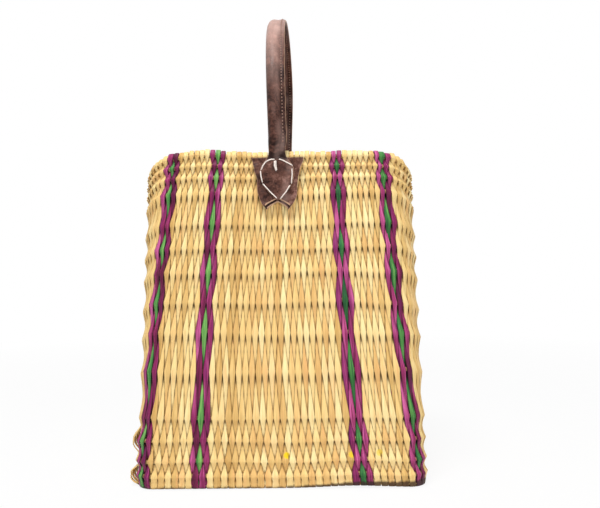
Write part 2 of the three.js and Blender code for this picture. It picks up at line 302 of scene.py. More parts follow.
def moved(place, vector, amount):
    step = vector.node("ShaderNodeVectorMath", {"operation": "SCALE"}, {0: vector, "Scale": amount})
    return place.node("ShaderNodeVectorMath", {"operation": "ADD"}, {0: place, 1: step})


def signed_power(part, power):
    return part.maths("SIGN", part) * abs(part) ** power


weave_tree, bench, given = new_tree("weave", list(weave_sizes))
where = bench.node("GeometryNodeInputPosition")
lines = kept_mark(given["Guide"], "middle", where, "FLOAT_VECTOR")
lines = bench.node("GeometryNodeMeshToCurve", sockets={"Mesh": lines})
section = bench.node("GeometryNodeCurvePrimitiveCircle", sockets={"Resolution": reed_sides, "Radius": 1.0})
parts = bench.node("ShaderNodeSeparateXYZ", sockets={0: where}).socket.node
section = kept_mark(section, "across", signed_power(Wire(bench.tree, parts.outputs[0]), edge_roundness))
section = kept_mark(section, "rise", signed_power(Wire(bench.tree, parts.outputs[1]), face_roundness))
section = bench.node("GeometryNodeTransform", sockets={"Geometry": section, "Scale": (1e-4, 1e-4, 1e-4)})
woven_sockets = {"Curve": lines, "Profile Curve": section, "Fill Caps": True}
woven = bench.node("GeometryNodeCurveToMesh", sockets=woven_sockets)
wave = bench.maths("COSINE", line_mark(bench, "phase") * math.pi) * given["Sharpness"]
swing = bench.maths("ARCSINE", wave) / bench.maths("ARCSINE", given["Sharpness"])
dive = signed_power(swing, dive_steepness)
reach = dive * line_mark(bench, "swell") * given["Swing"] + line_mark(bench, "inset")
opened = bench.maths("MAXIMUM", abs(swing), line_mark(bench, "spread"))
narrow = given["Crossing Width"]
half_width = (narrow + (given["Float Width"] - narrow) * opened) * line_mark(bench, "pitch")
across = line_mark(bench, "across")
half_thickness = given["Thickness"] * 0.5
lift = line_mark(bench, "rise") * half_thickness * (1 - across * across * edge_thinning)
place = moved(line_mark(bench, "middle", "FLOAT_VECTOR"), line_mark(bench, "outward", "FLOAT_VECTOR"), reach)
place = moved(place, line_mark(bench, "side", "FLOAT_VECTOR"), across * half_width)
place = moved(place, line_mark(bench, "lift", "FLOAT_VECTOR"), lift)
woven = bench.node("GeometryNodeSetPosition", sockets={"Geometry": woven, "Position": place})
close_tree(bench, woven, given["Finish"])


def mark(bench, name):
    return bench.node("ShaderNodeAttribute", {"attribute_name": name}, output=2)


def mark_noise(bench, across, along, seed, detail):
    place = bench.node("ShaderNodeCombineXYZ", sockets={0: across, 1: along, 2: seed})
    return place_noise(place, 1.0, detail)


def ramped(value, low, high, start, end):
    return value.node("ShaderNodeMapRange", sockets={0: value, 1: low, 2: high, 3: start, 4: end})


reed_marks = ("tint", "across", "run", "phase", "rise", "spread")
grain_rate = 26.0
patch_rate = 21.0
blush_rate = 30.0
fibre_rate = 60.0
pocket_start = 0.72
pocket_full = 0.84
pocket_end = 1.02
lip_beat = 1.83
fleck_yellow = colour(240, 206, 22)
fleck_core = 0.0026
fleck_edge = 0.0038
# Soil and painted shadow along the foot of the wall.
soil_and_shadow_brown = colour(50, 28, 22)
foot_dark_full = 0.0010
foot_dark_end = 0.0034
foot_dark_slope = 0.04


def reed_finish(name, tones, streak, strands=3.2, painted_shade_strength=1.0, open_face=0.37, gloss=0.2, flecks=()):
    """Reed with its grain along it, a tone of its own on each reed, painted shade at its edges and painted
    shadow in the weave's pockets.
    """
    pale, main, deep, stain, shade = tones
    finish, bench, shader = new_finish(name)
    tint, across, run, phase, rise, spread = (mark(bench, m) for m in reed_marks)
    place = object_place(bench)

    grain = mark_noise(bench, across * strands, run * grain_rate, tint * 91.0, detail=4.0)
    patches = mark_noise(bench, across * 0.5, run * patch_rate, tint * 47.0 + 5.0, detail=2.0)
    share = tint * 0.5 + (grain - 0.5) * streak + (patches - 0.5) * streak * 0.7 + 0.25
    tone = bench.node("ShaderNodeValToRGB", {"stops": [(0.12, deep), (0.5, main), (0.9, pale)]}, {0: share})
    blush = mark_noise(bench, across * 0.8, run * blush_rate, tint * 63.0 + 11.0, detail=1.0)
    tone = mixed(ramped(blush, 0.56, 0.74, 0.0, 0.55), tone, stain)
    own = bench.maths("FRACT", tint * 7.31)
    tone = mixed(ramped(own, 0.6, 1.0, 0.0, 0.35), tone, stain)

    facing = phase + bench.maths("LESS_THAN", rise, 0.0)
    folded = bench.maths("GREATER_THAN", spread, 0.5)
    front = bench.maths("MAXIMUM", 1 - bench.maths("PINGPONG", facing, 1.0) * 2, folded)
    # Painted shade: each reed's edges are mixed towards its shade colour, over more of its width where it
    # dives behind its neighbours.
    unshaded_width = bench.maths("MINIMUM", front * open_face + 0.57, front * 1.5 + 0.57)
    tone = mixed(ramped(abs(across) - unshaded_width, 0.0, 0.24, 0.0, 0.66 * painted_shade_strength), tone, shade)
    # Painted shadow: the shade colour is multiplied in where a reed lies deep behind, just below a hoop, and
    # on the edges just under each hoop, but not on the reeds folded over the rim.
    beat = bench.maths("MODULO", facing, 2.0)
    pocket_shadow = ramped(beat, pocket_start, pocket_full, 0.0, 0.92) * bench.maths("LESS_THAN", beat, pocket_end)
    below = ramped(abs(beat - lip_beat), 0.05, 0.13, 1.0, 0.0)
    lip = ramped(abs(across), 0.70, 0.88, 0.0, 0.5)
    painted_shade = (pocket_shadow + below * lip) * (1 - folded) * (own * 0.35 + 0.65) * painted_shade_strength
    tone = mixed(painted_shade, tone, shade, "MULTIPLY")

    for spot, strength in flecks:
        near = bench.node("ShaderNodeVectorMath", {"operation": "DISTANCE"}, {0: place, 1: spot}, output=1)
        ragged = near + (patches - 0.5) * 0.002
        tone = mixed(ramped(ragged, fleck_core, fleck_edge, strength, 0.0), tone, fleck_yellow)
    # Soil and painted shadow: a dark brown band with a ragged top along the bottom edge of the wall, wider
    # towards +X.
    rightward = bench.maths("MAXIMUM", bench.node("ShaderNodeSeparateXYZ", sockets={0: place}), 0.0)
    low = run - rightward * foot_dark_slope + (patches - 0.5) * 0.005
    tone = mixed(ramped(low, foot_dark_full, foot_dark_end, 0.9, 0.0), tone, soil_and_shadow_brown)

    fibres = mark_noise(bench, across * 9.0, run * fibre_rate, tint * 29.0, detail=3.0)
    rough = 0.44 + fibres * 0.22
    relief = bumped(fibres, strength=0.35, depth=0.0004)
    feed(bench, shader, Base_Color=tone, Roughness=rough, Normal=relief, Specular_IOR_Level=gloss)
    return finish


dye_flecks = [
    ((0.0061, -0.1015, 0.0345), 0.95),
    ((0.0722, -0.1015, 0.0348), 0.8),
    ((0.1, -0.1015, 0.0366), 0.6),
]
# The last colour of the set is the shade colour, used for painted shade at reed edges and painted shadow in
# the pockets.
straw = [colour(255, 237, 178), colour(243, 207, 136), colour(200, 154, 84)]
straw += [colour(238, 182, 118), colour(92, 50, 10)]
straw_streak = 0.55
natural_finish = reed_finish("natural_reed", straw, straw_streak, flecks=dye_flecks)
# The side walls get weaker painted shade and painted shadow.
side_finish = reed_finish("side_reed", straw, straw_streak, painted_shade_strength=0.35)

cane_rows = [(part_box(name)[0].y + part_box(name)[1].y) / 2 for name in base_cane_names]
cane_level = (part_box("base_cane_1")[0].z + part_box("base_cane_1")[1].z) / 2
mat_pitch = 0.0036
mat_reach = 0.141
mat_level = cane_level + 0.0002
mat_run = 0.2
mat_corner = 0.0171
mat_corner_x = 0.130
mat_corner_y = 0.082
beyond_canes = 0.046
beat_rows = [cane_rows[0] - beyond_canes, *cane_rows, cane_rows[-1] + beyond_canes]
beat_steps = 6
mat_beats = [0.41, 0.6, 0.8] + [1 + k / beat_steps for k in range(4 * beat_steps + 1)] + [5.2, 5.4, 5.59]
last_column = int(mat_reach / mat_pitch)
chance = random.Random(11)
mat_lines = []
for column in range(-last_column, last_column + 1):
    tint = chance.random()
    swell = chance.uniform(0.94, 1.0)
    into_corner = max(0.0, abs(column) * mat_pitch - mat_corner_x)
    end = mat_corner_y + math.sqrt(mat_corner ** 2 - into_corner ** 2)
    line = []
    for beat in mat_beats:
        y = min(end, max(-end, np.interp(beat, range(len(beat_rows)), beat_rows)))
        line.append({
            "at": Vector((column * mat_pitch, y, mat_level)), "phase": beat + column % 2,
            "outward": Vector((0, 0, 1)), "side": Vector((1, 0, 0)), "lift": Vector((0, 0, 1)),
            "pitch": mat_pitch, "tint": tint, "run": y + mat_run, "swell": swell,
            "inset": 0.0, "spread": 0.0})
    mat_lines.append(line)
mat_guide = guide_mesh("base_reed_paths", mat_lines)
base_reeds = grown("base_reeds", mat_guide, weave_tree, weave_sizes, natural_finish, reed_marks)
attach(base_reeds, "basket")
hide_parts("base_mat")


# Cane hoops
# Fourteen rings of peeled cane, close together at the foot and the rim and wider apart between.
# Each is bent to the plan of the basket, and the wall's reeds lock it where it is.
hoop_names = [f"hoop_{i:02d}" for i in range(1, 15)]
hoop_heights = [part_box(name)[1].z - cane_half for name in hoop_names]
hoop_reach = [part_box(name)[1] - Vector((cane_half, cane_half, 0)) for name in ("hoop_01", "hoop_14")]
hoop_points = 160
reed_crest = cane_half + reed_clearance + reed_thickness
rim_height = hoop_heights[-1] + reed_crest
base_corner = 0.018
rim_corner = 0.058
rim_dip = hoop_heights[-1] - (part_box("hoop_14")[0].z + cane_half)
rim_dip *= rim_height / hoop_heights[-1]
rim_hump = 0.0035
rim_hump_x = -0.072
rim_hump_half = 0.026
foot_lift = 0.002
foot_lift_x = 0.075
foot_lift_half = 0.04
row_wander = 0.004
corner_bulge = 0.003
corner_bulge_share = 0.11
corner_bulge_half = 0.07


def bell(value, middle, half):
    return math.exp(-((value - middle) / half) ** 2)


def from_hoops(share, axis):
    """Half the plan's width or depth at a share of the wall's height."""
    low_share, top_share = hoop_heights[0] / rim_height, hoop_heights[-1] / rim_height
    low, top = hoop_reach[0][axis], hoop_reach[1][axis]
    return low + (top - low) * (share - low_share) / (top_share - low_share)


def plan_at(share):
    half_width = from_hoops(share, 0)
    half_depth = from_hoops(share, 1)
    corner = base_corner + (rim_corner - base_corner) * share
    front = 2 * (half_width - corner)
    side = 2 * (half_depth - corner)
    return half_width, half_depth, corner, front, side, 2 * (front + side) + 2 * math.pi * corner


def wall(along, share):
    """A point of the wall, its way out and its way along, from the front middle towards +X and round."""
    half_width, half_depth, corner, front, side, whole = plan_at(share)
    along %= whole
    turn = 1 if along < whole / 2 else -1
    left = along % (whole / 2)
    bend = math.pi / 2 * corner
    if left < front / 2:
        x, y, angle = left, -half_depth, -math.pi / 2
    elif left < front / 2 + bend:
        angle = (left - front / 2) / corner - math.pi / 2
        x, y = front / 2 + corner * math.cos(angle), -side / 2 + corner * math.sin(angle)
    elif left < front / 2 + bend + side:
        x, y, angle = half_width, left - front / 2 - bend - side / 2, 0.0
    elif left < front / 2 + 2 * bend + side:
        angle = (left - front / 2 - bend - side) / corner
        x, y = front / 2 + corner * math.cos(angle), side / 2 + corner * math.sin(angle)
    else:
        x, y, angle = front + 2 * bend + side - left, half_depth, math.pi / 2
    x, y = turn * x, turn * y
    out = Vector((turn * math.cos(angle), turn * math.sin(angle), 0))
    height = share * (rim_height - rim_dip * out.x ** 4)
    height += row_wander * math.sin(math.pi * share) * noise.noise(Vector((x * 14, y * 14, share * 5)))
    height += foot_lift * (1 - share) ** 10 * bell(x, foot_lift_x, foot_lift_half) * out.y ** 2
    height += rim_hump * share ** 14 * bell(x, rim_hump_x, rim_hump_half) * out.y ** 2
    bulge = corner_bulge * max(0.0, 2 * out.x * out.y) * bell(share, corner_bulge_share, corner_bulge_half)
    return Vector((x, y, height)) + out * bulge, out, Vector((-out.y, out.x, 0))


hoop_lines = []
for height in hoop_heights:
    share = height / rim_height
    whole = plan_at(share)[-1]
    hoop_lines.append([{"at": wall(whole * k / hoop_points, share)[0]} for k in range(hoop_points)])
hoop_guide = guide_mesh("hoop_paths", hoop_lines, ring=True)
hoops = grown("cane_hoops", hoop_guide, rod_tree, {"Radius": cane_half}, cane_finish)
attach(hoops, "basket")
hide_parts(*hoop_names)


# Natural reeds of the wall
# Split reeds that stand side by side and pass in front of one hoop and behind the next. They
# spread over a hoop and pinch between two, fold over the top hoop and turn under at the foot.
# Eight at the low left corner have come loose from two hoops and stand off them in loops.
field_names = ["front_right_reeds", "right_side_reeds", "back_right_reeds", "back_reeds"]
field_names += ["back_left_reeds", "left_side_reeds", "front_left_reeds", "front_reeds"]
reeds_to_corner = 17
reeds_across_front = 45
reeds_across_side = 61
steps_after = [reeds_to_corner, reeds_across_side, reeds_to_corner, reeds_across_front] * 2
inner_stripe = (0.084, 0.060)
corner_stripe_turn = math.radians(22)
corner_stripe = (
    plan_at(0)[3] / 2 + math.pi / 4 * base_corner, plan_at(1)[3] / 2 + corner_stripe_turn * rim_corner)
stripe_count = len(field_names)
wall_twist = -0.0035
beat_heights = [0.0] + hoop_heights
top_beat = len(hoop_heights)
foot_height = 0.0018
foot_start = 0.003
foot_turn = ((0.013, -0.0009), (0.007, -0.0010), (0.0028, -0.0008))
foot_fan = 0.52
foot_bulge = 0.0006
fold_inset = 0.0014
tail_inset = 0.0015
tail_drops = (0.004, 0.011)
loose_field = field_names.index("left_side_reeds")
loose_first = 57
loose_count = 8
loose_reach = 0.0080
loose_reeds = {loose_first - 2 * k: loose_reach * (1 - (k / loose_count) ** 2) for k in range(loose_count)}
loose_hoops = ((1, 1.0), (3, 0.7))
loop_half = 0.52
loop_dent = 0.22
loop_dent_half = 0.12
chance = random.Random(5)


def stripe_line(index, share):
    """Where the green reed of a stripe stands, counted from the front middle towards +X."""
    half_round = plan_at(share)[-1] / 2
    low, top = inner_stripe if index % 4 in (0, 3) else corner_stripe
    near = low + (top - low) * share
    middle = half_round * ((index + 2) // 4)
    return middle + near if index % 4 in (0, 1) else middle - near


def reed_line(stripe, step):
    """The guide of one upright reed, a number of steps on from the green reed of a stripe."""
    steps = steps_after[stripe]
    parity = (1 + stripe + step) % 2
    tint = chance.random()
    width = chance.uniform(0.93, 1.04)
    swell = chance.uniform(0.9, 1.02)
    wander = chance.uniform(-0.12, 0.12)
    loop = chance.uniform(0.0012, 0.0032)
    loose = loose_reeds.get(step, 0.0) if stripe == loose_field else 0.0
    up = Vector((0, 0, 1))

    def slack(beat):
        """How far a loose reed stands off the wall, in a round loop at each hoop that it has left."""
        loops = 0.0
        for hoop, share in loose_hoops:
            dent = loop_dent * bell(beat, hoop, loop_dent_half)
            loops += share * (math.exp(-((beat - hoop) / loop_half) ** 4) - dent)
        return loose * loops

    def along(share):
        whole = plan_at(share)[-1]
        start = stripe_line(stripe, share)
        following = (stripe + 1) % stripe_count
        end = stripe_line(following, share) + (whole if following == 0 else 0)
        gap = (end - start) / steps
        lean = wall_twist * math.sin(math.pi * share)
        return start + gap * (step + wander * math.sin(9 * share + 40 * tint)) + lean, gap

    def point(share, phase, rise=0.0, inward=0.0, inset=0.0, tilt=0.0, spread=0.0):
        place, gap = along(share)
        at, out, side = wall(place, share)
        return {
            "at": at + up * rise - out * inward, "phase": phase, "outward": out, "side": side,
            "lift": out * math.cos(tilt) + up * math.sin(tilt), "pitch": gap * width, "tint": tint,
            "run": share * rim_height + rise - inward, "swell": swell, "inset": inset, "spread": spread}

    line = []
    outside_foot = parity == 1
    foot = foot_height / rim_height
    if outside_foot:
        for inward, rise in foot_turn:
            line.append(point(foot, 0.5, rise, inward, inset=0.0004, tilt=-math.pi / 2, spread=1.0))
        line.append(point(foot, 0.5, -0.0002, 0.0006, inset=foot_bulge, tilt=-math.pi / 4, spread=1.0))
    steps_up = range(1, beat_steps + 1)
    for k in steps_up:
        beat = 0.5 + k / (2 * beat_steps)
        height = foot_start + (hoop_heights[0] - foot_start) * k / beat_steps
        fan = max(foot_fan, 1 - k / beat_steps) if outside_foot and k < beat_steps else 0.0
        inset = slack(beat) + (foot_bulge * (1 - k / beat_steps) if outside_foot else 0.0)
        line.append(point(height / rim_height, beat + parity, inset=inset, spread=fan))
    for hoop in range(1, top_beat):
        for k in steps_up:
            beat = hoop + k / beat_steps
            height = np.interp(beat, range(top_beat + 1), beat_heights)
            line.append(point(height / rim_height, beat + parity, inset=slack(beat)))
    top = hoop_heights[-1] / rim_height
    if parity == 0:
        for k in steps_up:
            turn = math.pi * k / beat_steps
            over = (reed_swing + loop) * math.sin(turn)
            inset = -fold_inset * (k / beat_steps) ** 2
            line.append(point(top, top_beat + k / beat_steps, over, inset=inset, tilt=turn, spread=0.8))
        for drop in tail_drops:
            line.append(point(top, top_beat + 1, -drop, inset=-tail_inset, tilt=math.pi, spread=0.7))
    else:
        line.append(point(top, top_beat + parity, 0.0014))
    return line


for stripe, name in enumerate(field_names):
    columns = range(3, steps_after[stripe] - 2)
    guide = guide_mesh(name + "_paths", [reed_line(stripe, step) for step in columns])
    field_finish = side_finish if "side" in name else natural_finish
    reeds = grown("woven_" + name, guide, weave_tree, weave_sizes, field_finish, reed_marks)
    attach(reeds, "basket")
    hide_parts(name)


# Dyed stripes
# Reeds dyed before weaving, purple and green. Each stripe has one green reed with two purple
# ones on either side, woven like the rest, so green diamonds alternate with purple pairs.
stripe_names = ["front_right_stripe", "front_right_corner", "back_right_corner", "back_right_stripe"]
stripe_names += ["back_left_stripe", "back_left_corner", "front_left_corner", "front_left_stripe"]
# The last colour of each dyed set is its shade colour for painted shade and painted shadow, which is stronger
# on the dyed reeds than on the natural ones.
purple = [colour(216, 104, 164), colour(142, 30, 88), colour(80, 4, 44)]
purple += [colour(112, 18, 96), colour(50, 4, 24)]
green = [colour(140, 192, 100), colour(64, 132, 60), colour(20, 72, 36)]
green += [colour(30, 112, 66), colour(12, 34, 14)]
dyed = {"painted_shade_strength": 1.3, "open_face": 0.2, "gloss": 0.3}
purple_finish = reed_finish("purple_reed", purple, 1.5, strands=6.5, **dyed)
green_finish = reed_finish("green_reed", green, 1.4, strands=5.0, **dyed)
dyed_sizes = {**weave_sizes, "Crossing Width": 0.6}


def dyed_lines(steps):
    made = []
    for stripe in range(stripe_count):
        for step in steps:
            if step < 0:
                before = (stripe - 1) % stripe_count
                made.append(reed_line(before, steps_after[before] + step))
            else:
                made.append(reed_line(stripe, step))
    return made


purple_names = [f"{stripe}_purple_reed_{i}" for stripe in stripe_names for i in (1, 2)]
purple_guide = guide_mesh("purple_paths", dyed_lines([-2, -1, 1, 2]))
purple_reeds = grown("purple_reeds", purple_guide, weave_tree, dyed_sizes, purple_finish, reed_marks)
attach(purple_reeds, "basket")
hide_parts(*purple_names)

green_names = [f"{stripe}_green_reed" for stripe in stripe_names]
green_guide = guide_mesh("green_paths", dyed_lines([0]))
green_reeds = grown("green_reeds", green_guide, weave_tree, dyed_sizes, green_finish, reed_marks)
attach(green_reeds, "basket")
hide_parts(*green_names)


# Leather patches
# A cut piece of dark brown hide on the front wall and one on the back, under the handle's ends.
# Its lower edge is notched into two tips that curl, and its cut edges show the raw hide.
patch_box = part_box("front_patch")
patch_top = patch_box[1].z
patch_half = patch_box[1].x
patch_height = patch_top - patch_box[0].z
patch_thickness = patch_box[1].y - patch_box[0].y
patch_front = -patch_box[0].y
patch_notch = 0.0085
patch_cells = 48
patch_waist = [
    (0.0, patch_half), (0.009, 0.0240), (0.018, 0.0216), (0.027, 0.0207), (0.036, 0.0200), (0.042, 0.0184),
    (0.047, 0.0160), (patch_height, 0.0108)]
edge_rounding = 0.0005
buckle_depth = 0.0011
crease_depth = 0.0006
side_curl = 0.0026
tip_curl = 0.0022
patch_sink = 0.0002
lining_step = 0.0009
lining_height = 0.0034
lining_cut = 0.0038
round_border = 0.0012
raw_border = 0.0008

leather_finish, bench, shader = new_finish("brown_leather")
hide = object_place(bench)
edge, wear, fold = (mark(bench, name) for name in ("edge", "wear", "fold"))
cloud = place_noise(hide, scale=70.0, detail=5.0)
pores = bench.node("ShaderNodeTexVoronoi", sockets={"Vector": hide, "Scale": 900.0})
creases = place_noise(hide, scale=240.0, detail=4.0, distortion=1.5)
# Painted shade: the fold mark darkens the hide in dents, under the doubled foot's step, in the handle's
# gathers, at its neck and along its arms and seam.
tone_share = (cloud - 0.5) * 1.25 + (creases - 0.5) * 1.0 + 0.47 - fold * 0.6
leather_stops = [(0.1, colour(38, 18, 14)), (0.5, colour(96, 62, 52)), (0.9, colour(152, 112, 100))]
leather_tone = bench.node("ShaderNodeValToRGB", {"stops": leather_stops}, {0: tone_share})
# Wear and painted sheen: pale pinkish spots on the hide and a paler grip on the handle, mixed into its
# colour.
wear_and_sheen_share = ramped(wear + (creases - 0.5) * 0.5 * wear, 0.0, 1.0, 0.0, 0.92)
leather_tone = mixed(wear_and_sheen_share, leather_tone, colour(218, 180, 168))
raw_share = ramped(edge + (creases - 0.5) * 0.6, 0.4, 0.8, 0.0, 0.9)
leather_tone = mixed(raw_share, leather_tone, colour(202, 164, 134))
leather_bump = bumped(pores * 0.25 + creases * 1.1 + cloud * 0.9, strength=0.6, depth=0.0008)
leather_rough = ramped(creases, 0.3, 0.7, 0.30, 0.50)
feed(
    bench, shader, Base_Color=leather_tone, Roughness=leather_rough, Normal=leather_bump,
    Specular_IOR_Level=0.14)


def finish_mesh(mesh, finish, marks):
    for name, values in marks.items():
        mesh.attributes.new(name, "FLOAT", "POINT").data.foreach_set("value", values)
    mesh.materials.append(finish)
    face_out(mesh)
    mesh.shade_smooth()
    return mesh


def smooth_share(value, low, high):
    share = min(1.0, max(0.0, (value - low) / (high - low)))
    return share * share * (3 - 2 * share)


def patch_mesh(name, turn):
    """One patch, made at the front and turned to its wall, with buckles, curls and a doubled foot."""
    front, back, marks = [], [], {"edge": [], "wear": [], "fold": []}
    for i in range(patch_cells + 1):
        for j in range(patch_cells + 1):
            u = math.sin(math.pi / 2 * (2 * j / patch_cells - 1))
            v = (1 - math.cos(math.pi * i / patch_cells)) / 2
            length = patch_height - patch_notch * (1 - abs(u))
            drop = v * length
            low = (1 - v) * length
            wide = np.interp(drop, *zip(*patch_waist))
            ragged = noise.noise(Vector((u * 2.1, drop * 110, turn + 3.0)))
            x = u * wide * (1 + 0.07 * ragged * abs(u))
            border = min(1 - abs(u), 6 * v, 6 * (1 - v)) * wide
            crown = edge_rounding * max(0.0, 1 - border / round_border) ** 2
            buckle = buckle_depth * noise.noise(Vector((x * 95, drop * 120, turn + 8.0)))
            buckle += crease_depth * noise.noise(Vector((x * 210 + drop * 90, drop * 260, turn + 18.0)))
            uneven = 0.35 + noise.noise(Vector((drop * 85, turn + 1.5 + u, 2)))
            curl = side_curl * smooth_share(abs(u), 0.55, 1.0) * uneven
            tips = tip_curl * smooth_share(v, 0.74, 1.0) * smooth_share(abs(u), 0.1, 0.8)
            lining = 1 - smooth_share(low, 0.0026, lining_height)
            out = patch_front - patch_sink - crown + max(-patch_sink, buckle + curl)
            out = out + tips - lining_step * lining
            front.append(Vector((x, -out, patch_top - drop)))
            back.append(Vector((x, -(out - patch_thickness + crown + 0.0004), patch_top - drop)))
            cut = max(1 - low / 0.0017, 1 - abs(low - lining_cut) / 0.0009)
            cut = 1.5 * cut * smooth_share(0.95 - abs(u), 0, 0.15)
            marks["edge"].append(max(0.0, 1 - border / raw_border, cut))
            # Pale spots of wear and painted sheen on the hide.
            wear_and_sheen_spots = noise.noise(Vector((x * 85, drop * 85, turn + 20)))
            marks["wear"].append(1.1 * max(0.0, wear_and_sheen_spots - 0.12))
            # Painted shade in the dents of the buckles and painted shadow just under the step of the doubled
            # foot.
            lining_shadow = smooth_share(low, 0.0012, 0.0018) * lining
            marks["fold"].append(max(0.0, -900 * (buckle + patch_sink)) + lining_shadow)
    width = patch_cells + 1
    count = width * width
    faces = []
    for i in range(patch_cells):
        for j in range(patch_cells):
            a = i * width + j
            faces.append((a, a + 1, a + 1 + width, a + width))
            faces.append((count + a, count + a + width, count + a + 1 + width, count + a + 1))
    rim = list(range(width))
    rim += [i * width + patch_cells for i in range(1, width)]
    rim += [patch_cells * width + j for j in range(patch_cells - 1, -1, -1)]
    rim += [i * width for i in range(patch_cells - 1, 0, -1)]
    for a, b in zip(rim, rim[1:] + rim[:1]):
        faces.append((a, b, count + b, count + a))
    mesh = bpy.data.meshes.new(name)
    mesh.from_pydata(front + back, [], faces)
    mesh.transform(Matrix.Rotation(turn, 4, "Z"))
    return finish_mesh(mesh, leather_finish, {key: values * 2 for key, values in marks.items()})


for end, turn in (("front", 0.0), ("back", math.pi)):
    patch = place_piece(end + "_leather_patch", patch_mesh(end + "_leather_patch", turn))
    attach(patch, "basket")
    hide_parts(end + "_patch")


# Handle and its tongues
# One strip of hide. Its middle is rolled round a bundle of reed and sewn along the edges into a
# flange. Its ends gather at the rim and open into flat tongues, which are laced to the patches.
tongue_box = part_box("front_tongue")
cover_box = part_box("handle_cover")
tongue_level = -(tongue_box[0].y + tongue_box[1].y) / 2
tongue_half = (tongue_box[1].y - tongue_box[0].y) / 2
tongue_length = rim_height - tongue_box[0].z
handle_half = cover_box[1].x
handle_top = cover_box[1].z
roll_radius = cover_box[1].y - tongue_level
arch_height = handle_top - roll_radius - tongue_level
roll_middle = roll_radius - handle_half
flange_half = 0.0016
seam_across = 0.0060
groove_half = 0.0010
neck_half = 0.0084
# Place and half height of a painted shadow band across the strip at its neck.
neck_shadow_drop = 0.0035
neck_shadow_half = 0.0020
neck_swell, top_swell = 0.95, 0.08
roll_start, roll_full = -0.004, 0.014
roll_unevenness = 0.0004
tongue_buckle = 0.0010
gathers = (-0.0085, -0.0035, 0.0012, 0.0052)
gather_half = 0.0011
gather_depth = 0.0009
gather_wave = 0.0012
neck_lean = 0.0010
top_lean = 0.0036
back_arm_lean = 0.0046
grip_start = rim_height + 0.045
grip_full = rim_height + 0.15
press_start = rim_height + 0.085
press_full = handle_top - 0.008
# Wear and painted sheen on the grip, and a painted highlight band down the arms.
grip_wear_and_sheen = 0.58
arm_painted_sheen = 0.16
# Painted shade on the rolled arms, their flange and the seam's groove.
arm_shade = 0.27
flange_shade = 0.18
groove_shade = 0.45
strip_columns = 26
tongue_steps, arm_steps, arch_steps = 36, 28, 56
bend_start = (0, 0, rim_height - 0.004)
bend_end = (0, 0, rim_height + 0.030)
tongue_widths = [
    (-0.0002, neck_half), (0.004, 0.0092), (0.008, 0.0118), (0.012, 0.0150), (0.016, 0.0168), (0.021, 0.0171),
    (0.026, 0.0166), (0.031, 0.0152), (0.036, 0.0124), (0.041, 0.0084), (0.0455, 0.0040),
    (tongue_length, 0.0008)]


def handle_stations():
    """Places along the strip from one tip to the other, each with its way out."""
    rise = [rim_height - tongue_length + tongue_length * k / tongue_steps for k in range(tongue_steps)]
    rise += [rim_height + (arch_height - rim_height) * k / arm_steps for k in range(arm_steps)]
    arm = [(Vector((0, -tongue_level, z)), Vector((0, -1, 0))) for z in rise]
    arch = []
    for k in range(arch_steps + 1):
        turn = math.pi * k / arch_steps
        out = Vector((0, -math.cos(turn), math.sin(turn)))
        arch.append((Vector((0, 0, arch_height)) + out * tongue_level, out))
    back = [(Vector((0, -at.y, at.z)), Vector((0, 1, 0))) for at, out in reversed(arm)]
    return arm + arch + back


def handle_lean(at):
    """How far the slack handle leans at a place, and how much it swells where it is held."""
    share = min(1.0, max(0.0, (at.z - rim_height) / (handle_top - rim_height)))
    lean = neck_lean * smooth_share(share, 0, 0.1) - top_lean * share
    lean += back_arm_lean * smooth_share(at.y, -tongue_level, tongue_level) * smooth_share(share, 0.1, 0.75)
    return lean, neck_swell + top_swell * share


def flattened(at):
    """How far the grip is pressed flat, so that its flange lies level with the roll's outer face."""
    return smooth_share(at.z, press_start, press_full)


def flange_height(x):
    if x <= roll_middle:
        return 0.0
    return flange_half * (1 - max(0.0, (x - roll_middle) / (handle_half - roll_middle)) ** 14)


def roll_height(x):
    """Half the thickness of the rolled part at a place across it, from the roll to the flange."""
    roll = math.sqrt(max(0.0, roll_radius ** 2 - (x - roll_middle) ** 2))
    return max(roll, flange_height(x))


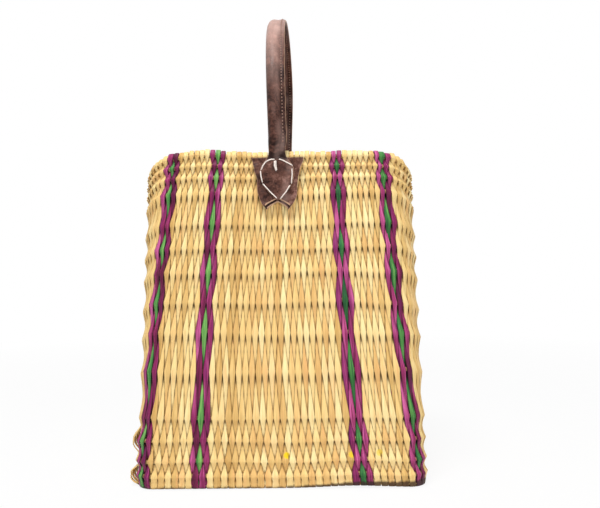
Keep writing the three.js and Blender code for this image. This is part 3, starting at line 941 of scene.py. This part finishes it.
rings, marks = [], {"edge": [], "wear": [], "fold": []}
for at, out in handle_stations():
    drop = rim_height - at.z
    rolled = smooth_share(-drop, roll_start, roll_full)
    lean, swell = handle_lean(at)
    pressed = flattened(at)
    grip = smooth_share(at.z, grip_start, grip_full)
    # A painted shadow band across the strip where the neck gathers.
    neck_shadow = bell(drop, neck_shadow_drop, neck_shadow_half)
    arm_half = neck_half + (handle_half * swell - neck_half) * smooth_share(-drop, 0, 0.012)
    wide = np.interp(drop, *zip(*tongue_widths)) if drop > 0 else arm_half
    ring = []
    for k in range(2 * strip_columns):
        c = -math.cos(math.pi * k / strip_columns)
        face = 1 if k <= strip_columns else -1
        x = c * wide
        own_x = c * handle_half
        flat = tongue_half * (1 - abs(c) ** 12) ** 0.5
        height = flat + (roll_height(own_x) - flat) * rolled
        uneven = noise.noise(Vector((x * 90, at.y * 40 + face, at.z * 40)))
        pulled = 0.0
        for gather in gathers:
            pulled += bell(drop - gather + gather_wave * math.sin(5 * c + 9 * gather), 0.0, gather_half)
        buckle = noise.noise(Vector((x * 130, 7.0, at.z * 150)))
        buckle += 0.5 * noise.noise(Vector((x * 330, 3.0, at.z * 330)))
        lift = face * height
        beyond = pressed * smooth_share(own_x, roll_middle, roll_middle + roll_radius)
        lift += beyond * (roll_radius - flange_half + face * flange_height(own_x) - lift)
        if face > 0:
            lift += roll_unevenness * uneven * rolled - gather_depth * pulled
            lift += tongue_buckle * (1 - rolled) * (1.05 - c * c) * max(-0.4, buckle)
        ring.append(at + Vector((x + lean, 0, 0)) + out * lift)

        groove = bell(own_x, seam_across, groove_half)
        tongue_edge = max(0.0, (abs(c) - 0.95) / 0.05) * (1 - rolled)
        marks["edge"].append(tongue_edge + max(0.0, (c - 0.93) / 0.05) * rolled)
        # Wear and painted sheen: the outer face of the grip paler across the roll, fading towards the flange,
        # and a painted highlight band down each arm.
        held = grip_wear_and_sheen * grip * smooth_share(c, 1.0 + 1.5 * pressed, -0.4)
        held += arm_painted_sheen * bell(c, 0.16, 0.25) * smooth_share(-drop, 0.03, 0.07) * (1 - grip)
        held *= 1 - 0.4 * groove
        wear_and_sheen_spots = max(0.0, noise.noise(Vector((x * 110, at.y * 30 + face, at.z * 60 + 4))) - 0.1)
        marks["wear"].append(held * max(0.0, face) + 0.5 * wear_and_sheen_spots)
        # Painted shade: the rolled arms and flange darker away from the grip and along the seam's groove,
        # with painted shade in the gathers and the neck's painted shadow band.
        painted_strip_shade = (arm_shade + flange_shade * smooth_share(c, 0.2, 0.6)) * rolled * (1 - grip)
        painted_strip_shade += groove_shade * rolled * groove
        marks["fold"].append(min(1.2, 0.85 * pulled + neck_shadow + painted_strip_shade + 0.5 * max(0.0, -buckle) * (1 - rolled)))
    rings.append(ring)
count = 2 * strip_columns
faces = [tuple(range(count)), tuple(range((len(rings) - 1) * count, len(rings) * count))]
for i in range(len(rings) - 1):
    for k in range(count):
        here, nearby = i * count + k, i * count + (k + 1) % count
        faces.append((here, nearby, nearby + count, here + count))
strip_mesh = bpy.data.meshes.new("handle_leather")
strip_mesh.from_pydata([point for ring in rings for point in ring], [], faces)
handle_leather = place_piece("handle_leather", finish_mesh(strip_mesh, leather_finish, marks))
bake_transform(handle_leather, "basket", "handle", start=bend_start, end=bend_end)
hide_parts("handle_cover", "handle_core", "front_tongue", "back_tongue")


# Seam of the handle
# Two rows of small machine stitches in brownish tan thread, one on each face of the flange, 6 mm
# from the handle's middle. They close the roll along its whole length.
stitch_pitch = 0.0034
stitch_sizes = {"Length": 0.0010, "Radius": 0.00062}
stitch_rise = 0.0001
seam_start = rim_height + 0.010
stitch_tree, bench, given = new_tree("stitches", list(stitch_sizes))
seam = bench.node("GeometryNodeMeshToCurve", sockets={"Mesh": given["Guide"]})
bead = bench.node("GeometryNodeMeshUVSphere", sockets={"Segments": 6, "Rings": 4, "Radius": 1.0})
bead_axes = {0: given["Radius"], 1: given["Radius"], 2: given["Length"]}
bead_size = bench.node("ShaderNodeCombineXYZ", sockets=bead_axes)
tangent = bench.node("GeometryNodeInputTangent")
facing = bench.node("FunctionNodeAlignRotationToVector", {"axis": "Z"}, {"Vector": tangent})
bead_sockets = {"Points": seam, "Instance": bead, "Rotation": facing, "Scale": bead_size}
close_tree(bench, bench.node("GeometryNodeInstanceOnPoints", sockets=bead_sockets), given["Finish"])

tan_finish, bench, shader = new_finish("tan_thread")
fluff = place_noise(object_place(bench), scale=900.0, detail=2.0)
tan_tone = mixed(fluff, colour(128, 92, 78), colour(178, 140, 122))
feed(bench, shader, Base_Color=tan_tone, Roughness=0.7)

seam_lines = []
for face in (1, -1):
    line = []
    for at, out in handle_stations():
        if at.z >= seam_start:
            lean, swell = handle_lean(at)
            level = flattened(at) * (roll_radius - flange_half) + face * (flange_half + stitch_rise)
            line.append(at + Vector((seam_across * swell + lean, 0, 0)) + out * level)
    length = [0.0]
    for a, b in zip(line, line[1:]):
        length.append(length[-1] + (b - a).length)
    places = np.arange(0.0, length[-1], stitch_pitch)
    spots = [Vector([np.interp(d, length, [p[axis] for p in line]) for axis in range(3)]) for d in places]
    seam_lines.append([{"at": spot} for spot in spots])
seam_guide = guide_mesh("seam_paths", seam_lines)
seam_stitches = grown("seam_stitches", seam_guide, stitch_tree, stitch_sizes, tan_finish)
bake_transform(seam_stitches, "basket", "handle", start=bend_start, end=bend_end)


# Lacing
# Waxed off-white thread, 1.2 mm thick, sewn by hand through tongue, patch and wall in long stitches
# round the edge of the tongue, with one short doubled stitch down its middle.
lace_radius = 0.00062
lace_points = 14
lace_sink = 0.0012
lace_bow = 0.0018
tongue_face = tongue_level + tongue_half
stitch_runs = [
    [(-0.0020, -0.0072), (-0.0056, -0.0073), (-0.0090, -0.0082), (-0.0118, -0.0102), (-0.0142, -0.0134),
     (-0.0162, -0.0180)],
    [(-0.0168, -0.0190), (-0.0164, -0.0240), (-0.0150, -0.0302)],
    [(-0.0146, -0.0318), (-0.0076, -0.0398), (0.0004, -0.0476)],
    [(0.0008, -0.0068), (0.0050, -0.0080), (0.0100, -0.0106), (0.0154, -0.0136)],
    [(0.0150, -0.0164), (0.0152, -0.0230), (0.0142, -0.0318)],
    [(0.0130, -0.0332), (0.0090, -0.0400), (0.0030, -0.0472)],
    [(-0.0026, -0.0082), (-0.0026, -0.0140), (-0.0008, -0.0196)],
    [(-0.0013, -0.0080), (-0.0011, -0.0140), (-0.0003, -0.0190)],
]

lace_finish, bench, shader = new_finish("waxed_thread")
twist = place_noise(object_place(bench), scale=700.0, detail=3.0)
lace_tone = mixed(twist, colour(228, 210, 198), colour(254, 247, 240))
lace_bump = bumped(twist, strength=0.5, depth=0.0003)
feed(bench, shader, Base_Color=lace_tone, Roughness=0.6, Normal=lace_bump)

for end, turn in (("front", 0.0), ("back", math.pi)):
    lace_lines = []
    for run in stitch_runs:
        length = [0.0]
        for (xa, za), (xb, zb) in zip(run, run[1:]):
            length.append(length[-1] + math.hypot(xb - xa, zb - za))
        line = []
        for share in np.linspace(0, 1, lace_points):
            x, z = (np.interp(share * length[-1], length, [p[axis] for p in run]) for axis in (0, 1))
            out = tongue_face - lace_sink + lace_bow * min(1.0, 6 * min(share, 1 - share))
            line.append({"at": Matrix.Rotation(turn, 3, "Z") @ Vector((x, -out, rim_height + z))})
        lace_lines.append(line)
    lace_guide = guide_mesh(end + "_lace_paths", lace_lines)
    lacing = grown(end + "_lace", lace_guide, rod_tree, {"Radius": lace_radius}, lace_finish)
    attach(lacing, "basket")
    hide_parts(end + "_lacing")


# Studio
# A pale floor that curves up behind, a large soft lamp above the front, a weaker one beside it and
# even light all round. The floor is not part of the basket.
def seen_share(bench):
    """1 where the surface is looked at, straight, in a gloss or through glass, and 0 for plain light."""
    rays = bench.node("ShaderNodeLightPath").socket.node
    kinds = ("Camera", "Glossy", "Transmission")
    straight, glossy, through = (Wire(bench.tree, rays.outputs[f"Is {kind} Ray"]) for kind in kinds)
    return bench.maths("MAXIMUM", bench.maths("MAXIMUM", straight, glossy), through)


pure_white = (1, 1, 1, 1)
floor_finish = bpy.data.materials.new("pale_floor")
floor_finish.use_nodes = True
floor_finish.node_tree.nodes.clear()
bench = Wire(floor_finish.node_tree)
matt = bench.node("ShaderNodeBsdfDiffuse", sockets={"Color": (0.86, 0.86, 0.86, 1)})
white = bench.node("ShaderNodeEmission", sockets={"Color": pure_white, "Strength": 1.0})
away = bench.node("ShaderNodeVectorMath", {"operation": "LENGTH"}, {0: object_place(bench)}, output=1)
white_share = seen_share(bench) * ramped(away, 0.5, 1.5, 0.9, 1.0)
floor_mix = bench.node("ShaderNodeMixShader", sockets={0: white_share, 1: matt, 2: white})
bench.node("ShaderNodeOutputMaterial", sockets={"Surface": floor_mix})

floor_half = 7.0
curve_start = 1.6
curve_radius = 0.8
backdrop_top = 3.2
profile = [(-floor_half, 0.0), (curve_start, 0.0)]
for turn in np.linspace(0.15, math.pi / 2, 12):
    forward = curve_radius * math.sin(turn)
    profile.append((curve_start + forward, curve_radius - curve_radius * math.cos(turn)))
profile.append((curve_start + curve_radius, backdrop_top))
floor_mesh = bpy.data.meshes.new("floor")
corners = [Vector((x, y, z)) for y, z in profile for x in (-floor_half, floor_half)]
strips = [(2 * i, 2 * i + 1, 2 * i + 3, 2 * i + 2) for i in range(len(profile) - 1)]
floor_mesh.from_pydata(corners, [], strips)
floor_mesh.materials.append(floor_finish)
floor_mesh.shade_smooth()
place_piece("floor", floor_mesh)

world = bpy.data.worlds.new("studio")
bpy.context.scene.world = world
world.use_nodes = True
world.node_tree.nodes.clear()
bench = Wire(world.node_tree)
glow = bench.node("ShaderNodeBackground", sockets={"Color": pure_white, "Strength": 0.36})
white = bench.node("ShaderNodeBackground", sockets={"Color": pure_white, "Strength": 1.0})
sky = bench.node("ShaderNodeMixShader", sockets={0: seen_share(bench), 1: glow, 2: white})
bench.node("ShaderNodeOutputWorld", sockets={"Surface": sky})


def soft_lamp(name, place, aim, size, power):
    lamp = bpy.data.lights.new(name, "AREA")
    lamp.shape = "RECTANGLE"
    lamp.size, lamp.size_y = size
    lamp.energy = power
    held = bpy.data.objects.new(name, lamp)
    bpy.context.scene.collection.objects.link(held)
    held.location = place
    held.rotation_euler = (Vector(aim) - Vector(place)).to_track_quat("-Z", "Y").to_euler()


soft_lamp("key_lamp", place=(-0.25, -0.8, 2.0), aim=(0, 0, 0.25), size=(0.7, 0.5), power=32.0)
soft_lamp("fill_lamp", place=(0.7, -1.8, 0.8), aim=(0, 0, 0.2), size=(1.0, 1.0), power=9.0)

sensor_width = 36.0
frame_pixels = 600
focal_pixels = 686.2
camera_place = (0.0313, -0.8, 0.2269)
yaw, pitch, roll = (math.radians(a) for a in (0.77, 0.95, 0.75))
camera_data = bpy.data.cameras.new("photo_camera")
camera = bpy.data.objects.new("photo_camera", camera_data)
bpy.context.scene.collection.objects.link(camera)
bpy.context.scene.camera = camera
camera_data.sensor_fit = "HORIZONTAL"
camera_data.sensor_width = sensor_width
camera_data.lens = sensor_width * focal_pixels / frame_pixels
right = Vector((math.cos(yaw), math.sin(yaw), 0))
ahead = Vector((-math.sin(yaw), math.cos(yaw), 0)) * math.cos(pitch) + Vector((0, 0, math.sin(pitch)))
over = right.cross(ahead)
side_axis = right * math.cos(roll) - over * math.sin(roll)
top_axis = right * math.sin(roll) + over * math.cos(roll)
turned = Matrix((side_axis, top_axis, -ahead)).transposed().to_4x4()
camera.matrix_world = Matrix.Translation(camera_place) @ turned
bpy.context.scene.view_settings.view_transform = "Standard"
